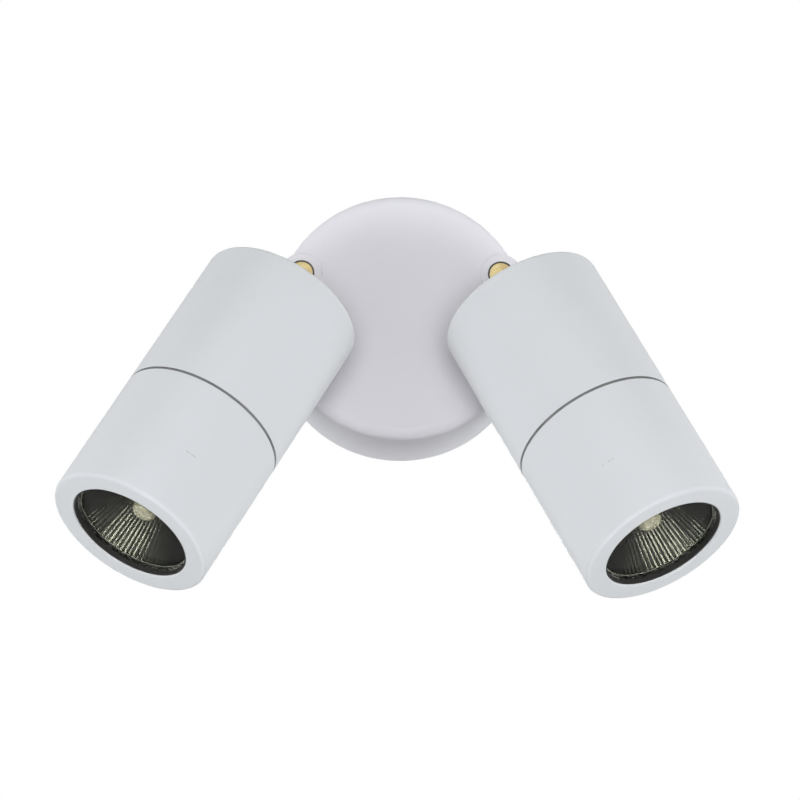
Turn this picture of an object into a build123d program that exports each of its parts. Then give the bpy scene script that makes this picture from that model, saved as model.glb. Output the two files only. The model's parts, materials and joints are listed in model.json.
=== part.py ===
from build123d import *
import os
from math import cos, radians, sin, tan

os.makedirs("parts", exist_ok=True)

# A wall light with two spotlight heads. Millimetres. The back plane of the canopy is the
# wall, y = 0. The front faces -Y, X runs to the right as seen from the front, Z is up.

# Canopy: a shallow cup, open at the wall.
CANOPY_RADIUS = 50.0
CANOPY_DEPTH = 33.5
CANOPY_DRAFT = 1.0
CANOPY_WALL = 1.5
CANOPY_EDGE_RADIUS = 4.0

# Ear bosses that carry the swivels, measured in from the canopy's edge and up from the level.
EAR_INSET = 7.63
EAR_ANGLE = 23.36
EAR_POCKET_ROOM = 0.2
EAR_PROUD = 0.8
EAR_EDGE_RADIUS = 0.5
EAR_HUB_LENGTH = 9.5

# Swivel: a brass knuckle in two halves, clamped by a cross screw.
SHANK_RADIUS = 4.4
SHANK_LENGTH = 20.5
SHANK_THREAD_STEP = 0.4
SHANK_THREAD_LENGTH = 9.0
BUSH_WALL = 0.65
BUSH_FLANGE_WIDTH = 1.3
BUSH_FLANGE_THICKNESS = 0.8
PAN_NUT_WALL = 1.5
PAN_NUT_HEIGHT = 4.0
PAN_WASHER_THICKNESS = 0.6
NECK_LENGTH = 8.7
CHEEK_FACE_GAP = 1.5
CHEEK_RADIUS = 7.5
CHEEK_THICKNESS = 4.0
CHEEK_RIM = 1.2
CHEEK_FLOOR = 1.0
CHEEK_HUB_WALL = 0.9
FRICTION_RING_THICKNESS = 0.5
NECK_HALF_WIDTH = 3.5
NECK_START = -0.4
STEM_REACH = 5.7
STEM_RADIUS = 4.0
STEM_COLLAR_WIDTH = 2.0
STEM_COLLAR_THICKNESS = 1.6
STEM_NUT_FLATS = 13.0
STEM_NUT_HEIGHT = 4.0
STEM_WASHER_THICKNESS = 0.8
STEM_WASHER_RADIUS = 8.0
STEM_THREAD_OVER = 1.0
PIVOT_SCREW_RADIUS = 2.0
PIVOT_HEAD_RADIUS = 3.8
PIVOT_HEAD_HEIGHT = 2.4
PIVOT_NUT_FLATS = 7.0
PIVOT_NUT_HEIGHT = 3.2
SPRING_WASHER_THICKNESS = 0.9
SPRING_WASHER_SLIT = 0.5
SPRING_WASHER_SLANT = 20.0
HEX_KEY_FLATS = 2.5
HEX_KEY_DEPTH = 1.3
PIVOT_HEAD_EDGE_RADIUS = 0.8
PIVOT_SCREW_OVER = 0.6
NECK_SHOULDER = 3.2
NECK_RISE = 0.6

# Heads.
HEAD_LENGTH = 118.5
FRONT_LENGTH = 54.0
MOUTH_LIP = 1.2
LAMP_SIDE_ROOM = 5.2
SHELL_WALL = 1.8
FRONT_PLATE = 2.0
BACK_PLATE = 2.5
HEAD_EDGE_RADIUS = 1.5
MOUTH_EDGE_RADIUS = 0.6
JOINT_GAP = 0.9
JOINT_RING_DEPTH = 0.6
JOINT_EDGE_CHAMFER = 0.25
SPIGOT_LENGTH = 8.0
SPIGOT_WALL = 1.6
SPIGOT_STEP = 2.5
STEM_WASHER_EDGE = 1.7

# Rest pose, in degrees: pan is measured outwards from straight down, tilt away from the wall.
PAN = {"left": 29.5, "right": 26.5}
TILT = 17.5

# Reflector lamp.
LAMP_RADIUS = 25.0
LAMP_RIM_HEIGHT = 3.5
LAMP_CUP_DEPTH = 34.0
LAMP_GLASS_EDGE = 1.4
LAMP_GLASS_THICKNESS = 1.5
LAMP_RIM_WIDTH = 2.5
LAMP_NECK_RADIUS = 10.5
LAMP_NECK_BORE = 6.2
LAMP_BASE_LENGTH = 15.0
LAMP_PIN_SPACING = 10.0
LAMP_PIN_RADIUS = 1.5
LAMP_PIN_HEAD_RADIUS = 2.5
LAMP_PIN_LENGTH = 6.5
LAMP_PIN_HEAD_LENGTH = 2.6
LAMP_BASE_FLAT = 2.5
LAMP_FLOOR_THICKNESS = 5.0
LAMP_GLASS_SUNK = 0.35
LAMP_GASKET_THICKNESS = 0.6
LAMP_GASKET_LIP = 0.7
CAPSULE_RADIUS = 4.6
CAPSULE_LENGTH = 27.0
CAPSULE_TIP_RADIUS = 1.1

# Lampholder on its carrier plate.
HOLDER_LENGTH = 28.0
HOLDER_WIDTH = 17.0
HOLDER_DEPTH = 13.0
HOLDER_CORNER_RADIUS = 3.0
HOLDER_LUG_INSET = 3.4
HOLDER_LUG_HEIGHT = 4.0
HOLDER_PIN_ROOM = 1.5
HOLDER_CORE_DEPTH = 3.0
CARRIER_THICKNESS = 1.2
CARRIER_WINDOW_RADIUS = 5.0
POST_RADIUS = 3.2
POST_EDGE = 1.5
POST_ANGLES = (0, 115, 245)
POST_RIB_THICKNESS = 2.0
SCREW_RADIUS = 1.5
SCREW_HEAD_RADIUS = 2.8
SCREW_HEAD_HEIGHT = 1.8
SCREW_LENGTH = 7.0
SCREW_SLOT_WIDTH = 0.7

# Mounting bracket and wiring in the canopy.
BRACKET_THICKNESS = 1.5
BRACKET_HALF_WIDTH = 12.0
BRACKET_DISC_RADIUS = 28.0
BRACKET_TAB_HEIGHT = 8.0
BRACKET_TAB_HALF_WIDTH = 6.0
BRACKET_SHOULDER_INSET = 6.0
SLOT_SPACING = 68.0
SLOT_LENGTH = 14.0
SLOT_WIDTH = 5.0
CABLE_HOLE_RADIUS = 8.0
CABLE_HOLE_UP = 9.0
GROMMET_BORE_RADIUS = 5.0
GROMMET_LIP = 1.6
GROMMET_EDGE_RADIUS = 0.5
GRUB_RADIUS = 1.5
GRUB_LENGTH = 5.2
GRUB_HEIGHT = 4.6
GRUB_SOCKET_FLATS = 1.5
GRUB_SOCKET_DEPTH = 1.6
TERMINAL_LENGTH = 30.0
TERMINAL_WIDTH = 16.0
TERMINAL_HEIGHT = 12.5
TERMINAL_DOWN = 15.0
TERMINAL_PITCH = 9.0
TERMINAL_WAY_RADIUS = 2.3
TERMINAL_INSERT_WALL = 0.7
TERMINAL_INSERT_INSET = 1.0
TERMINAL_CORNER_RADIUS = 1.5
TERMINAL_SCREW_BITE = 0.4
TERMINAL_SCREW_SUNK = 1.5
GRUB_SLOT_WIDTH = 0.6
GRUB_SLOT_DEPTH = 0.8
FIXING_SUNK = 0.5
EARTH_SCREW_X = 17.0
EARTH_SCREW_UP = 15.0
EARTH_WASHER_RADIUS = 4.2
EARTH_WASHER_THICKNESS = 0.8
LEAD_RADIUS = 1.3
CORE_RADIUS = 0.6
LEAD_BEND_SHARE = 0.45
CORE_BEND_SHARE = 0.3

# The canopy leads: straight out of the shank, down along the wall, round to the terminal's poles.
LEAD_DROP = 6.0
LEAD_WALL_HEIGHT = 6.0
LEAD_DOWN = 20.0
LEAD_INWARD = 4.0
LEAD_BEND_INWARD = 13.0
LEAD_BEND_BELOW = 6.0
LEAD_END_BELOW = 10.0
LEAD_END_BESIDE = 8.0
LEAD_CROSSING = 0.7
CORE_RUN = 3.5
CORE_BITE = 2.0
CORE_FAN_BELOW = 8.0
CORE_BESIDE = 0.5

# The leads in a head: out of the stem, across to the lampholder, into its two core holes.
HEAD_LEAD_RISE = 4.0
HEAD_LEAD_ACROSS = 6.0
HEAD_LEAD_SHARE = 0.35
HEAD_CORE_X = 4.0
HEAD_CORE_BELOW = 4.0
HEAD_CORE_BITE = 2.5

# The lead's way through a knuckle's base, measured at the boss.
LEAD_TURN_DEPTH = 4.0
LEAD_NECK_OUT = 2.5
LEAD_NECK_ALONG = 2.9
LEAD_ENTRY_ANGLE = 34.0

# Clearances.
RUNNING_FIT = 0.05
CLOSE_FIT = 0.1
SEAT = 0.02
FREE_GAP = 0.3
OVERLAP = 0.5
CUT_PAST = 1.0

SIDES = {"left": -1, "right": 1}
UPRIGHT = Rot(90, 0, 0)

# Worked out from the dimensions above.
EAR_X = (CANOPY_RADIUS - EAR_INSET) * cos(radians(EAR_ANGLE))
EAR_Z = (CANOPY_RADIUS - EAR_INSET) * sin(radians(EAR_ANGLE))
BOSS_FACE = CANOPY_DEPTH + EAR_PROUD
SHANK_THREAD_RADIUS = SHANK_RADIUS - SHANK_THREAD_STEP
BUSH_RADIUS = SHANK_RADIUS + RUNNING_FIT + BUSH_WALL
EAR_RADIUS = BUSH_RADIUS + BUSH_FLANGE_WIDTH + EAR_POCKET_ROOM + CANOPY_WALL
PAN_NUT_FLATS = 2 * (SHANK_THREAD_RADIUS + PAN_NUT_WALL)
CHEEK_STEP = CHEEK_THICKNESS + FRICTION_RING_THICKNESS
PIVOT_REACH = NECK_LENGTH + FREE_GAP + CHEEK_RADIUS
PIVOT_STAND_OFF = CHEEK_RADIUS + CHEEK_FACE_GAP
PIVOT_TO_BACK = CHEEK_RADIUS + STEM_REACH
SHELL_BORE = LAMP_RADIUS + LAMP_SIDE_ROOM
HEAD_RADIUS = SHELL_BORE + SHELL_WALL
MOUTH_RADIUS = LAMP_RADIUS - MOUTH_LIP
LAMP_GLASS_RADIUS = LAMP_RADIUS - LAMP_GLASS_EDGE
LAMP_OPENING_RADIUS = LAMP_RADIUS - LAMP_RIM_WIDTH
PIVOT_TO_AXIS = SHELL_BORE - STEM_WASHER_RADIUS - STEM_WASHER_EDGE
POST_CIRCLE = SHELL_BORE - POST_RADIUS - POST_EDGE
JOINT_Z = HEAD_LENGTH - FRONT_LENGTH
LAMP_FRONT_Z = HEAD_LENGTH - FRONT_PLATE - LAMP_GASKET_THICKNESS
LAMP_NECK_Z = LAMP_FRONT_Z - LAMP_CUP_DEPTH
LAMP_BASE_Z = LAMP_NECK_Z - LAMP_BASE_LENGTH
CARRIER_Z = LAMP_BASE_Z - FREE_GAP - HOLDER_DEPTH
STEM_END_Z = BACK_PLATE + STEM_WASHER_THICKNESS + STEM_NUT_HEIGHT + STEM_THREAD_OVER


def ring(outer, inner, low, high):
    """A flat ring about Z between two heights."""
    body = Pos(0, 0, low) * Cylinder(outer, high - low, align=(Align.CENTER, Align.CENTER, Align.MIN))
    return body - Pos(0, 0, low) * Cylinder(inner, high - low, align=(Align.CENTER, Align.CENTER, Align.MIN))


def disc(radius, low, high):
    """A plain cylinder about Z between two heights."""
    return Pos(0, 0, low) * Cylinder(radius, high - low, align=(Align.CENTER, Align.CENTER, Align.MIN))


def rod(start, end, radius):
    """A round rod between two points."""
    start, end = Vector(*start), Vector(*end)
    plane = Plane(origin=start, z_dir=end - start)
    length = (end - start).length
    return plane.location * Cylinder(radius, length, align=(Align.CENTER, Align.CENTER, Align.MIN))


def across(shape, low=0.0):
    """Turn a shape drawn about Z so that it lies along X, starting at x = low."""
    return Pos(low, 0, 0) * Rot(0, 90, 0) * shape


def hexagon(flats, low, high):
    """A hexagonal prism about Z, measured across its flats."""
    outline = RegularPolygon(flats / 2, 6, major_radius=False)
    return Pos(0, 0, low) * extrude(outline, high - low)


def lead(points, radius, share=LEAD_BEND_SHARE):
    """A round lead along straight runs joined by arcs, each as large as its two runs allow."""
    radii = []
    for before, here, after in zip(points, points[1:], points[2:]):
        first, second = Vector(*here) - Vector(*before), Vector(*after) - Vector(*here)
        turn = radians(first.get_angle(second))
        radii.append(share * min(first.length, second.length) / tan(turn / 2))
    path = FilletPolyline(*points, radius=radii)
    print("lead bends:", [round(value, 1) for value in radii])
    return sweep(Plane(origin=path @ 0, z_dir=path % 0) * Circle(radius), path=path)


def screw(length, head_radius=SCREW_HEAD_RADIUS, head_height=SCREW_HEAD_HEIGHT, radius=SCREW_RADIUS):
    """A pan-head screw: the head sits on z = 0, the shaft points to -Z."""
    head = disc(head_radius, 0, head_height)
    head = fillet(head.edges().group_by(Axis.Z)[-1], head_height / 3)
    slot = Pos(0, 0, head_height) * Box(2 * head_radius, SCREW_SLOT_WIDTH, head_height)
    return head - slot + disc(radius, -length, 0)


def group(*shapes):
    """Several separate solids that share one name."""
    solids = []
    for shape in shapes:
        solids += list(shape.solids())
    return Compound(solids)


def write(name, shape):
    export_step(shape, f"parts/{name}.step")


# Frames. Parts of the canopy are drawn lying on the wall: x to the right, y up, z out from
# the wall. A swivel is drawn at its boss: x across, y out from the canopy's face, z along the
# pan direction. A head is drawn on its back end: x across, y away from the wall, z to its mouth.


def pan_frame(name):
    side, pan = SIDES[name], radians(PAN[name])
    origin = (side * EAR_X, -CANOPY_DEPTH, EAR_Z)
    along = (side * sin(pan), 0, -cos(pan))
    sideways = (cos(pan), 0, side * sin(pan))
    return Plane(origin=origin, x_dir=sideways, z_dir=along).location


def head_frame(name):
    pivot = pan_frame(name) * Pos(0, PIVOT_STAND_OFF, PIVOT_REACH) * Rot(-TILT, 0, 0)
    return pivot * Pos(-SIDES[name] * CHEEK_STEP, PIVOT_TO_AXIS, PIVOT_TO_BACK)


# Canopy and what it holds.


def canopy_cup(inset, depth, edge):
    """The canopy's tapered cup, smaller by an inset, with a rounded front edge."""
    cup = Cone(CANOPY_RADIUS - inset, CANOPY_RADIUS - CANOPY_DRAFT - inset, depth,
               align=(Align.CENTER, Align.CENTER, Align.MIN))
    return fillet(cup.edges().group_by(Axis.Z)[-1], edge)


def at_ears(shape):
    return [Pos(side * EAR_X, EAR_Z, 0) * shape for side in SIDES.values()]


def make_canopy():
    body = canopy_cup(0, CANOPY_DEPTH, CANOPY_EDGE_RADIUS)
    column = disc(EAR_RADIUS, 0, BOSS_FACE)
    column = fillet(column.edges().group_by(Axis.Z)[-1], EAR_EDGE_RADIUS)
    for ear in at_ears(column):
        body += ear
    body -= canopy_cup(CANOPY_WALL, CANOPY_DEPTH - CANOPY_WALL, CANOPY_EDGE_RADIUS - CANOPY_WALL)
    hub_end = CANOPY_DEPTH - EAR_HUB_LENGTH
    for hub in at_ears(disc(EAR_RADIUS, hub_end, CANOPY_DEPTH)):
        body += hub
    for bore in at_ears(disc(BUSH_RADIUS + SEAT, 0, BOSS_FACE)):
        body -= bore
    for pocket in at_ears(disc(EAR_RADIUS - CANOPY_WALL, 0, hub_end)):
        body -= pocket
    reach = CANOPY_RADIUS + CUT_PAST
    grub_hole = across(disc(GRUB_RADIUS + CLOSE_FIT, -reach, reach))
    body -= Pos(0, 0, GRUB_HEIGHT) * grub_hole
    write("canopy", UPRIGHT * body)


def tab_face():
    """Distance from the centre to a bracket tab's outer face, just inside the canopy's wall."""
    bore = CANOPY_RADIUS - CANOPY_WALL - CANOPY_DRAFT * BRACKET_TAB_HEIGHT / CANOPY_DEPTH
    return bore - BRACKET_TAB_HALF_WIDTH ** 2 / (2 * bore) - FREE_GAP


def make_bracket():
    reach = tab_face()
    plate = Pos(0, 0, BRACKET_THICKNESS / 2) * Box(2 * reach, 2 * BRACKET_HALF_WIDTH, BRACKET_THICKNESS)
    plate += disc(BRACKET_DISC_RADIUS, 0, BRACKET_THICKNESS)
    corner = Pos(0, 0, BRACKET_THICKNESS / 2) * Box(2 * reach, 2 * BRACKET_TAB_HALF_WIDTH, BRACKET_THICKNESS)
    inside = reach - BRACKET_SHOULDER_INSET
    shoulder = Pos(0, 0, BRACKET_THICKNESS / 2) * Box(2 * inside, 4 * BRACKET_DISC_RADIUS, BRACKET_THICKNESS)
    plate = plate & (corner + shoulder)
    for side in (-1, 1):
        tab = Pos(side * (reach - BRACKET_THICKNESS / 2), 0, BRACKET_TAB_HEIGHT / 2)
        plate += tab * Box(BRACKET_THICKNESS, 2 * BRACKET_TAB_HALF_WIDTH, BRACKET_TAB_HEIGHT)
    grub_hole = across(disc(GRUB_RADIUS + SEAT, -reach - CUT_PAST, reach + CUT_PAST))
    plate -= Pos(0, 0, GRUB_HEIGHT) * grub_hole
    slot = extrude(SlotOverall(SLOT_LENGTH, SLOT_WIDTH), BRACKET_THICKNESS)
    for side in (-1, 1):
        plate -= Pos(side * SLOT_SPACING / 2, 0, 0) * slot
    plate -= Pos(0, CABLE_HOLE_UP, 0) * disc(CABLE_HOLE_RADIUS, 0, BRACKET_THICKNESS)
    for hole in terminal_fixings(disc(SCREW_RADIUS + SEAT, 0, BRACKET_THICKNESS)):
        plate -= hole
    plate -= Pos(EARTH_SCREW_X, EARTH_SCREW_UP, 0) * disc(SCREW_RADIUS + SEAT, 0, BRACKET_THICKNESS)
    write("mounting_bracket", UPRIGHT * plate)


def terminal_fixings(shape):
    """Copies of a shape at the two fixing points between the terminal's poles."""
    return [Pos(side * TERMINAL_PITCH / 2, -TERMINAL_DOWN, 0) * shape for side in (-1, 1)]


def make_grub_screws():
    screws = []
    outer = CANOPY_RADIUS - CANOPY_DRAFT * GRUB_HEIGHT / CANOPY_DEPTH - FREE_GAP
    for side in (-1, 1):
        grub = disc(GRUB_RADIUS, outer - GRUB_LENGTH, outer)
        grub -= hexagon(GRUB_SOCKET_FLATS, outer - GRUB_SOCKET_DEPTH, outer + CUT_PAST)
        turned = across(grub) if side > 0 else Rot(0, 0, 180) * across(grub)
        screws.append(UPRIGHT * Pos(0, 0, GRUB_HEIGHT) * turned)
    write("canopy_grub_screws", group(*screws))


def make_grommet():
    outer = CABLE_HOLE_RADIUS - SEAT
    body = disc(outer, 0, BRACKET_THICKNESS + GROMMET_LIP)
    body += disc(CABLE_HOLE_RADIUS + GROMMET_LIP, BRACKET_THICKNESS, BRACKET_THICKNESS + GROMMET_LIP)
    body -= disc(GROMMET_BORE_RADIUS, 0, BRACKET_THICKNESS + GROMMET_LIP)
    body = fillet(body.edges().group_by(Axis.Z)[-1], GROMMET_EDGE_RADIUS)
    write("cable_grommet", UPRIGHT * Pos(0, CABLE_HOLE_UP, 0) * body)


def pole_places():
    return [TERMINAL_PITCH * step for step in (-1, 0, 1)]


def make_terminal_block():
    low, high = BRACKET_THICKNESS, BRACKET_THICKNESS + TERMINAL_HEIGHT
    middle = (low + high) / 2
    body = Pos(0, -TERMINAL_DOWN, middle) * Box(TERMINAL_LENGTH, TERMINAL_WIDTH, TERMINAL_HEIGHT)
    body = fillet(body.edges().filter_by(Axis.Z), TERMINAL_CORNER_RADIUS)
    way = Rot(90, 0, 0) * Cylinder(TERMINAL_WAY_RADIUS, TERMINAL_WIDTH + 2 * CUT_PAST)
    insert_bore = TERMINAL_WAY_RADIUS - TERMINAL_INSERT_WALL
    insert_end = TERMINAL_WIDTH / 2 - TERMINAL_INSERT_INSET
    screw_low = insert_bore - TERMINAL_SCREW_BITE
    screw_high = TERMINAL_HEIGHT / 2 - TERMINAL_SCREW_SUNK
    cross_slot = Box(4 * SCREW_RADIUS, GRUB_SLOT_WIDTH, 2 * GRUB_SLOT_DEPTH)
    inserts = []
    screws = []
    for x in pole_places():
        at_pole = Pos(x, -TERMINAL_DOWN, middle)
        body -= at_pole * way
        insert = Rot(90, 0, 0) * ring(TERMINAL_WAY_RADIUS - SEAT, insert_bore, -insert_end, insert_end)
        for y in (-TERMINAL_WIDTH / 4, TERMINAL_WIDTH / 4):
            at_screw = at_pole * Pos(0, y, 0)
            body -= at_screw * disc(SCREW_RADIUS + CLOSE_FIT, 0, TERMINAL_HEIGHT)
            insert -= Pos(0, y, 0) * disc(SCREW_RADIUS + SEAT, 0, TERMINAL_WAY_RADIUS)
            shaft = disc(SCREW_RADIUS, screw_low, screw_high) - Pos(0, 0, screw_high) * cross_slot
            screws.append(UPRIGHT * at_screw * shaft)
        inserts.append(UPRIGHT * at_pole * insert)
    for hole in terminal_fixings(disc(SCREW_RADIUS + CLOSE_FIT, low, high)):
        body -= hole
    write("terminal_block", UPRIGHT * body)
    write("terminal_inserts", group(*inserts))
    write("terminal_screws", group(*screws))
    fixing_high = high - FIXING_SUNK
    fixing = disc(SCREW_RADIUS, 0, fixing_high) - Pos(0, 0, fixing_high) * cross_slot
    write("terminal_fixing_screws", group(*[UPRIGHT * place for place in terminal_fixings(fixing)]))


def make_earth_terminal():
    seat = BRACKET_THICKNESS + EARTH_WASHER_THICKNESS
    washer = ring(EARTH_WASHER_RADIUS, SCREW_RADIUS + CLOSE_FIT, BRACKET_THICKNESS, seat)
    at_screw = UPRIGHT * Pos(EARTH_SCREW_X, EARTH_SCREW_UP, 0)
    fixing = Pos(0, 0, seat + SEAT) * screw(seat + SEAT)
    write("earth_terminal", group(at_screw * washer, at_screw * fixing))


def make_canopy_leads():
    """The sleeved lead from each swivel's shank to the terminal block, and its three cores."""
    shank_end = BOSS_FACE + RUNNING_FIT - SHANK_LENGTH
    edge = -TERMINAL_DOWN - TERMINAL_WIDTH / 2
    spread = 2 * CORE_RADIUS + RUNNING_FIT
    sleeves = []
    cores = []
    for side in SIDES.values():
        pole_z = BRACKET_THICKNESS + TERMINAL_HEIGHT / 2 + side * LEAD_CROSSING
        route = [
            (side * EAR_X, EAR_Z, shank_end - CLOSE_FIT),
            (side * EAR_X, EAR_Z, shank_end - LEAD_DROP),
            (side * (EAR_X - LEAD_INWARD), EAR_Z - LEAD_DOWN, LEAD_WALL_HEIGHT),
            (side * (EAR_X - LEAD_BEND_INWARD), edge - LEAD_BEND_BELOW, LEAD_WALL_HEIGHT + OVERLAP),
            (side * (TERMINAL_PITCH + LEAD_END_BESIDE), edge - LEAD_END_BELOW, pole_z),
        ]
        sleeves.append(UPRIGHT * lead(route, LEAD_RADIUS))
        sleeve_end = Vector(*route[-1])
        along = (sleeve_end - Vector(*route[-2])).normalized()
        beside = along.cross(Vector(0, 0, side)).normalized()
        for step, x in enumerate(pole_places()):
            fan = (step - 1) * spread * side
            entry = x + side * CORE_BESIDE
            start = sleeve_end + along * FREE_GAP + beside * fan
            into_pole = [
                (start.X, start.Y, start.Z),
                (entry + side * CORE_BITE, edge - CORE_FAN_BELOW + fan, pole_z),
                (entry, edge - CORE_RUN, pole_z),
                (entry, edge + CORE_BITE, pole_z),
            ]
            cores.append(UPRIGHT * lead(into_pole, CORE_RADIUS, CORE_BEND_SHARE))
    write("canopy_lead_sleeves", group(*sleeves))
    write("canopy_lead_cores", group(*cores))


# Swivels.


def make_bushes():
    """A flanged bush in each ear bore, seated from inside the canopy."""
    flange_low = -EAR_HUB_LENGTH - BUSH_FLANGE_THICKNESS
    bush = ring(BUSH_RADIUS, SHANK_RADIUS + RUNNING_FIT, flange_low, EAR_PROUD)
    flange_radius = BUSH_RADIUS + BUSH_FLANGE_WIDTH
    bush += ring(flange_radius, BUSH_RADIUS - BUSH_WALL, flange_low, -EAR_HUB_LENGTH - SEAT)
    write("pan_bushes", group(*[pan_frame(name) * Rot(-90, 0, 0) * bush for name in SIDES]))


def make_shank_fixings(name):
    """Wave washer and lock nut on the shank, drawn at the boss."""
    place = pan_frame(name) * Rot(-90, 0, 0)
    washer_high = -EAR_HUB_LENGTH - BUSH_FLANGE_THICKNESS - SEAT
    washer_low = washer_high - PAN_WASHER_THICKNESS
    washer = ring(BUSH_RADIUS + BUSH_FLANGE_WIDTH, SHANK_RADIUS + CLOSE_FIT, washer_low, washer_high)
    write(f"{name}_pan_wave_washer", place * washer)
    nut_high = washer_low - SEAT
    nut = hexagon(PAN_NUT_FLATS, nut_high - PAN_NUT_HEIGHT, nut_high)
    nut = chamfer_hexagon(nut, PAN_NUT_FLATS)
    nut -= disc(SHANK_THREAD_RADIUS + SEAT, nut_high - PAN_NUT_HEIGHT, nut_high)
    write(f"{name}_pan_lock_nut", place * nut)


def chamfer_hexagon(nut, flats):
    """Turn the corners of a hexagon down to a cone at both ends."""
    box = nut.bounding_box()
    height = box.max.Z - box.min.Z
    limit = Cone(flats * 0.54 + height * 1.2, flats * 0.54 - height * 0.1, height * 1.3)
    both = Pos(0, 0, box.center().Z) * (limit & Rot(180, 0, 0) * limit)
    return nut & both


def side_plate(outline, half_width):
    """A plate across X from points given as (along the pan direction, out from the face)."""
    face = make_face(Polyline(*[(0, out, along) for along, out in outline], close=True))
    return extrude(face, half_width, dir=(1, 0, 0), both=True)


def cheek_cavity(toward):
    """The hollow that carries the lead round the screw, open on the side that meets the other cheek."""
    depth = CHEEK_THICKNESS - CHEEK_FLOOR
    low = CHEEK_THICKNESS / 2 - depth if toward > 0 else -CHEEK_THICKNESS / 2
    return across(ring(CHEEK_RADIUS - CHEEK_RIM, PIVOT_SCREW_RADIUS + CHEEK_HUB_WALL, 0, depth), low)


def screw_way():
    return across(disc(PIVOT_SCREW_RADIUS + RUNNING_FIT, -CHEEK_RADIUS, CHEEK_RADIUS))


def make_knuckle_base(name):
    """The canopy's half of the knuckle: hollow shank, flush round end, neck and cheek."""
    foot_y = EAR_PROUD + RUNNING_FIT
    foot_end = EAR_RADIUS - FREE_GAP
    neck_end = PIVOT_REACH - CHEEK_RADIUS - FREE_GAP
    cheek_low, cheek_high = PIVOT_STAND_OFF - CHEEK_RADIUS, PIVOT_STAND_OFF + CHEEK_RADIUS
    neck_top = PIVOT_STAND_OFF + 0.6 * CHEEK_RADIUS
    body = rod((0, foot_y - SHANK_LENGTH + SHANK_THREAD_LENGTH, 0), (0, foot_y, 0), SHANK_RADIUS)
    body += rod((0, foot_y - SHANK_LENGTH, 0), (0, foot_y, 0), SHANK_THREAD_RADIUS)
    shoulder = neck_end - NECK_SHOULDER
    neck = [(NECK_START, foot_y), (foot_end, foot_y), (neck_end, foot_y + NECK_RISE), (neck_end, neck_top),
            (shoulder, PIVOT_STAND_OFF)]
    web = [(shoulder, foot_y), (foot_end, foot_y), (neck_end, foot_y + NECK_RISE), (PIVOT_REACH, cheek_low),
           (PIVOT_REACH, cheek_high), (neck_end, neck_top)]
    body += side_plate(neck, NECK_HALF_WIDTH)
    body += side_plate(web, CHEEK_THICKNESS / 2)
    pivot = Pos(0, PIVOT_STAND_OFF, PIVOT_REACH)
    body += pivot * across(disc(CHEEK_RADIUS, -CHEEK_THICKNESS / 2, CHEEK_THICKNESS / 2))
    body -= pivot * cheek_cavity(-SIDES[name])
    body -= pivot * screw_way()
    body -= lead(swivel_route(), LEAD_RADIUS + FREE_GAP)
    write(f"{name}_knuckle_base", pan_frame(name) * body)


def swivel_route():
    """The lead's points in the base: up the shank, over the neck and into the cheek's hollow."""
    middle = (CHEEK_RADIUS - CHEEK_RIM + PIVOT_SCREW_RADIUS + CHEEK_HUB_WALL) / 2
    entry = radians(LEAD_ENTRY_ANGLE)
    return [
        (0, EAR_PROUD + RUNNING_FIT - SHANK_LENGTH, 0),
        (0, -LEAD_TURN_DEPTH, 0),
        (0, LEAD_NECK_OUT, LEAD_NECK_ALONG),
        (0, PIVOT_STAND_OFF - middle * sin(entry), PIVOT_REACH - middle * cos(entry)),
    ]


def make_swivel_lead(name):
    write(f"{name}_swivel_lead", pan_frame(name) * lead(swivel_route(), LEAD_RADIUS))


def make_pivot_parts(name):
    """Cross screw, friction ring, spring washer and nut, drawn at the pivot."""
    inward = -SIDES[name]
    half = CHEEK_THICKNESS / 2
    place = pan_frame(name) * Pos(0, PIVOT_STAND_OFF, PIVOT_REACH)
    turn = Rot(0, 90 * inward, 0)
    friction_high = half + FRICTION_RING_THICKNESS - SEAT
    friction = ring(CHEEK_RADIUS, CHEEK_RADIUS - CHEEK_RIM, half + SEAT, friction_high)
    write(f"{name}_friction_ring", place * turn * friction)
    outer = half + CHEEK_STEP
    spring_high = outer + SPRING_WASHER_THICKNESS
    spring = ring(PIVOT_HEAD_RADIUS, PIVOT_SCREW_RADIUS + CLOSE_FIT, outer + SEAT, spring_high)
    slit = Box(2 * PIVOT_HEAD_RADIUS, SPRING_WASHER_SLIT, 4 * SPRING_WASHER_THICKNESS)
    spring -= Pos(PIVOT_HEAD_RADIUS, 0, (outer + spring_high) / 2) * Rot(SPRING_WASHER_SLANT, 0, 0) * slit
    write(f"{name}_spring_washer", place * turn * spring)
    nut_low = spring_high + SEAT
    nut = chamfer_hexagon(hexagon(PIVOT_NUT_FLATS, nut_low, nut_low + PIVOT_NUT_HEIGHT), PIVOT_NUT_FLATS)
    nut -= disc(PIVOT_SCREW_RADIUS + SEAT, nut_low, nut_low + PIVOT_NUT_HEIGHT)
    write(f"{name}_pivot_nut", place * turn * nut)
    head_end = -half - PIVOT_HEAD_HEIGHT
    head = disc(PIVOT_HEAD_RADIUS, head_end, -half - SEAT)
    head = fillet(head.edges().group_by(Axis.Z)[0], PIVOT_HEAD_EDGE_RADIUS)
    head -= hexagon(HEX_KEY_FLATS, head_end - CUT_PAST, head_end + HEX_KEY_DEPTH)
    shaft = disc(PIVOT_SCREW_RADIUS, head_end + HEX_KEY_DEPTH, nut_low + PIVOT_NUT_HEIGHT + PIVOT_SCREW_OVER)
    write(f"{name}_pivot_screw", place * turn * (head + shaft))


# Heads.


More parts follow.
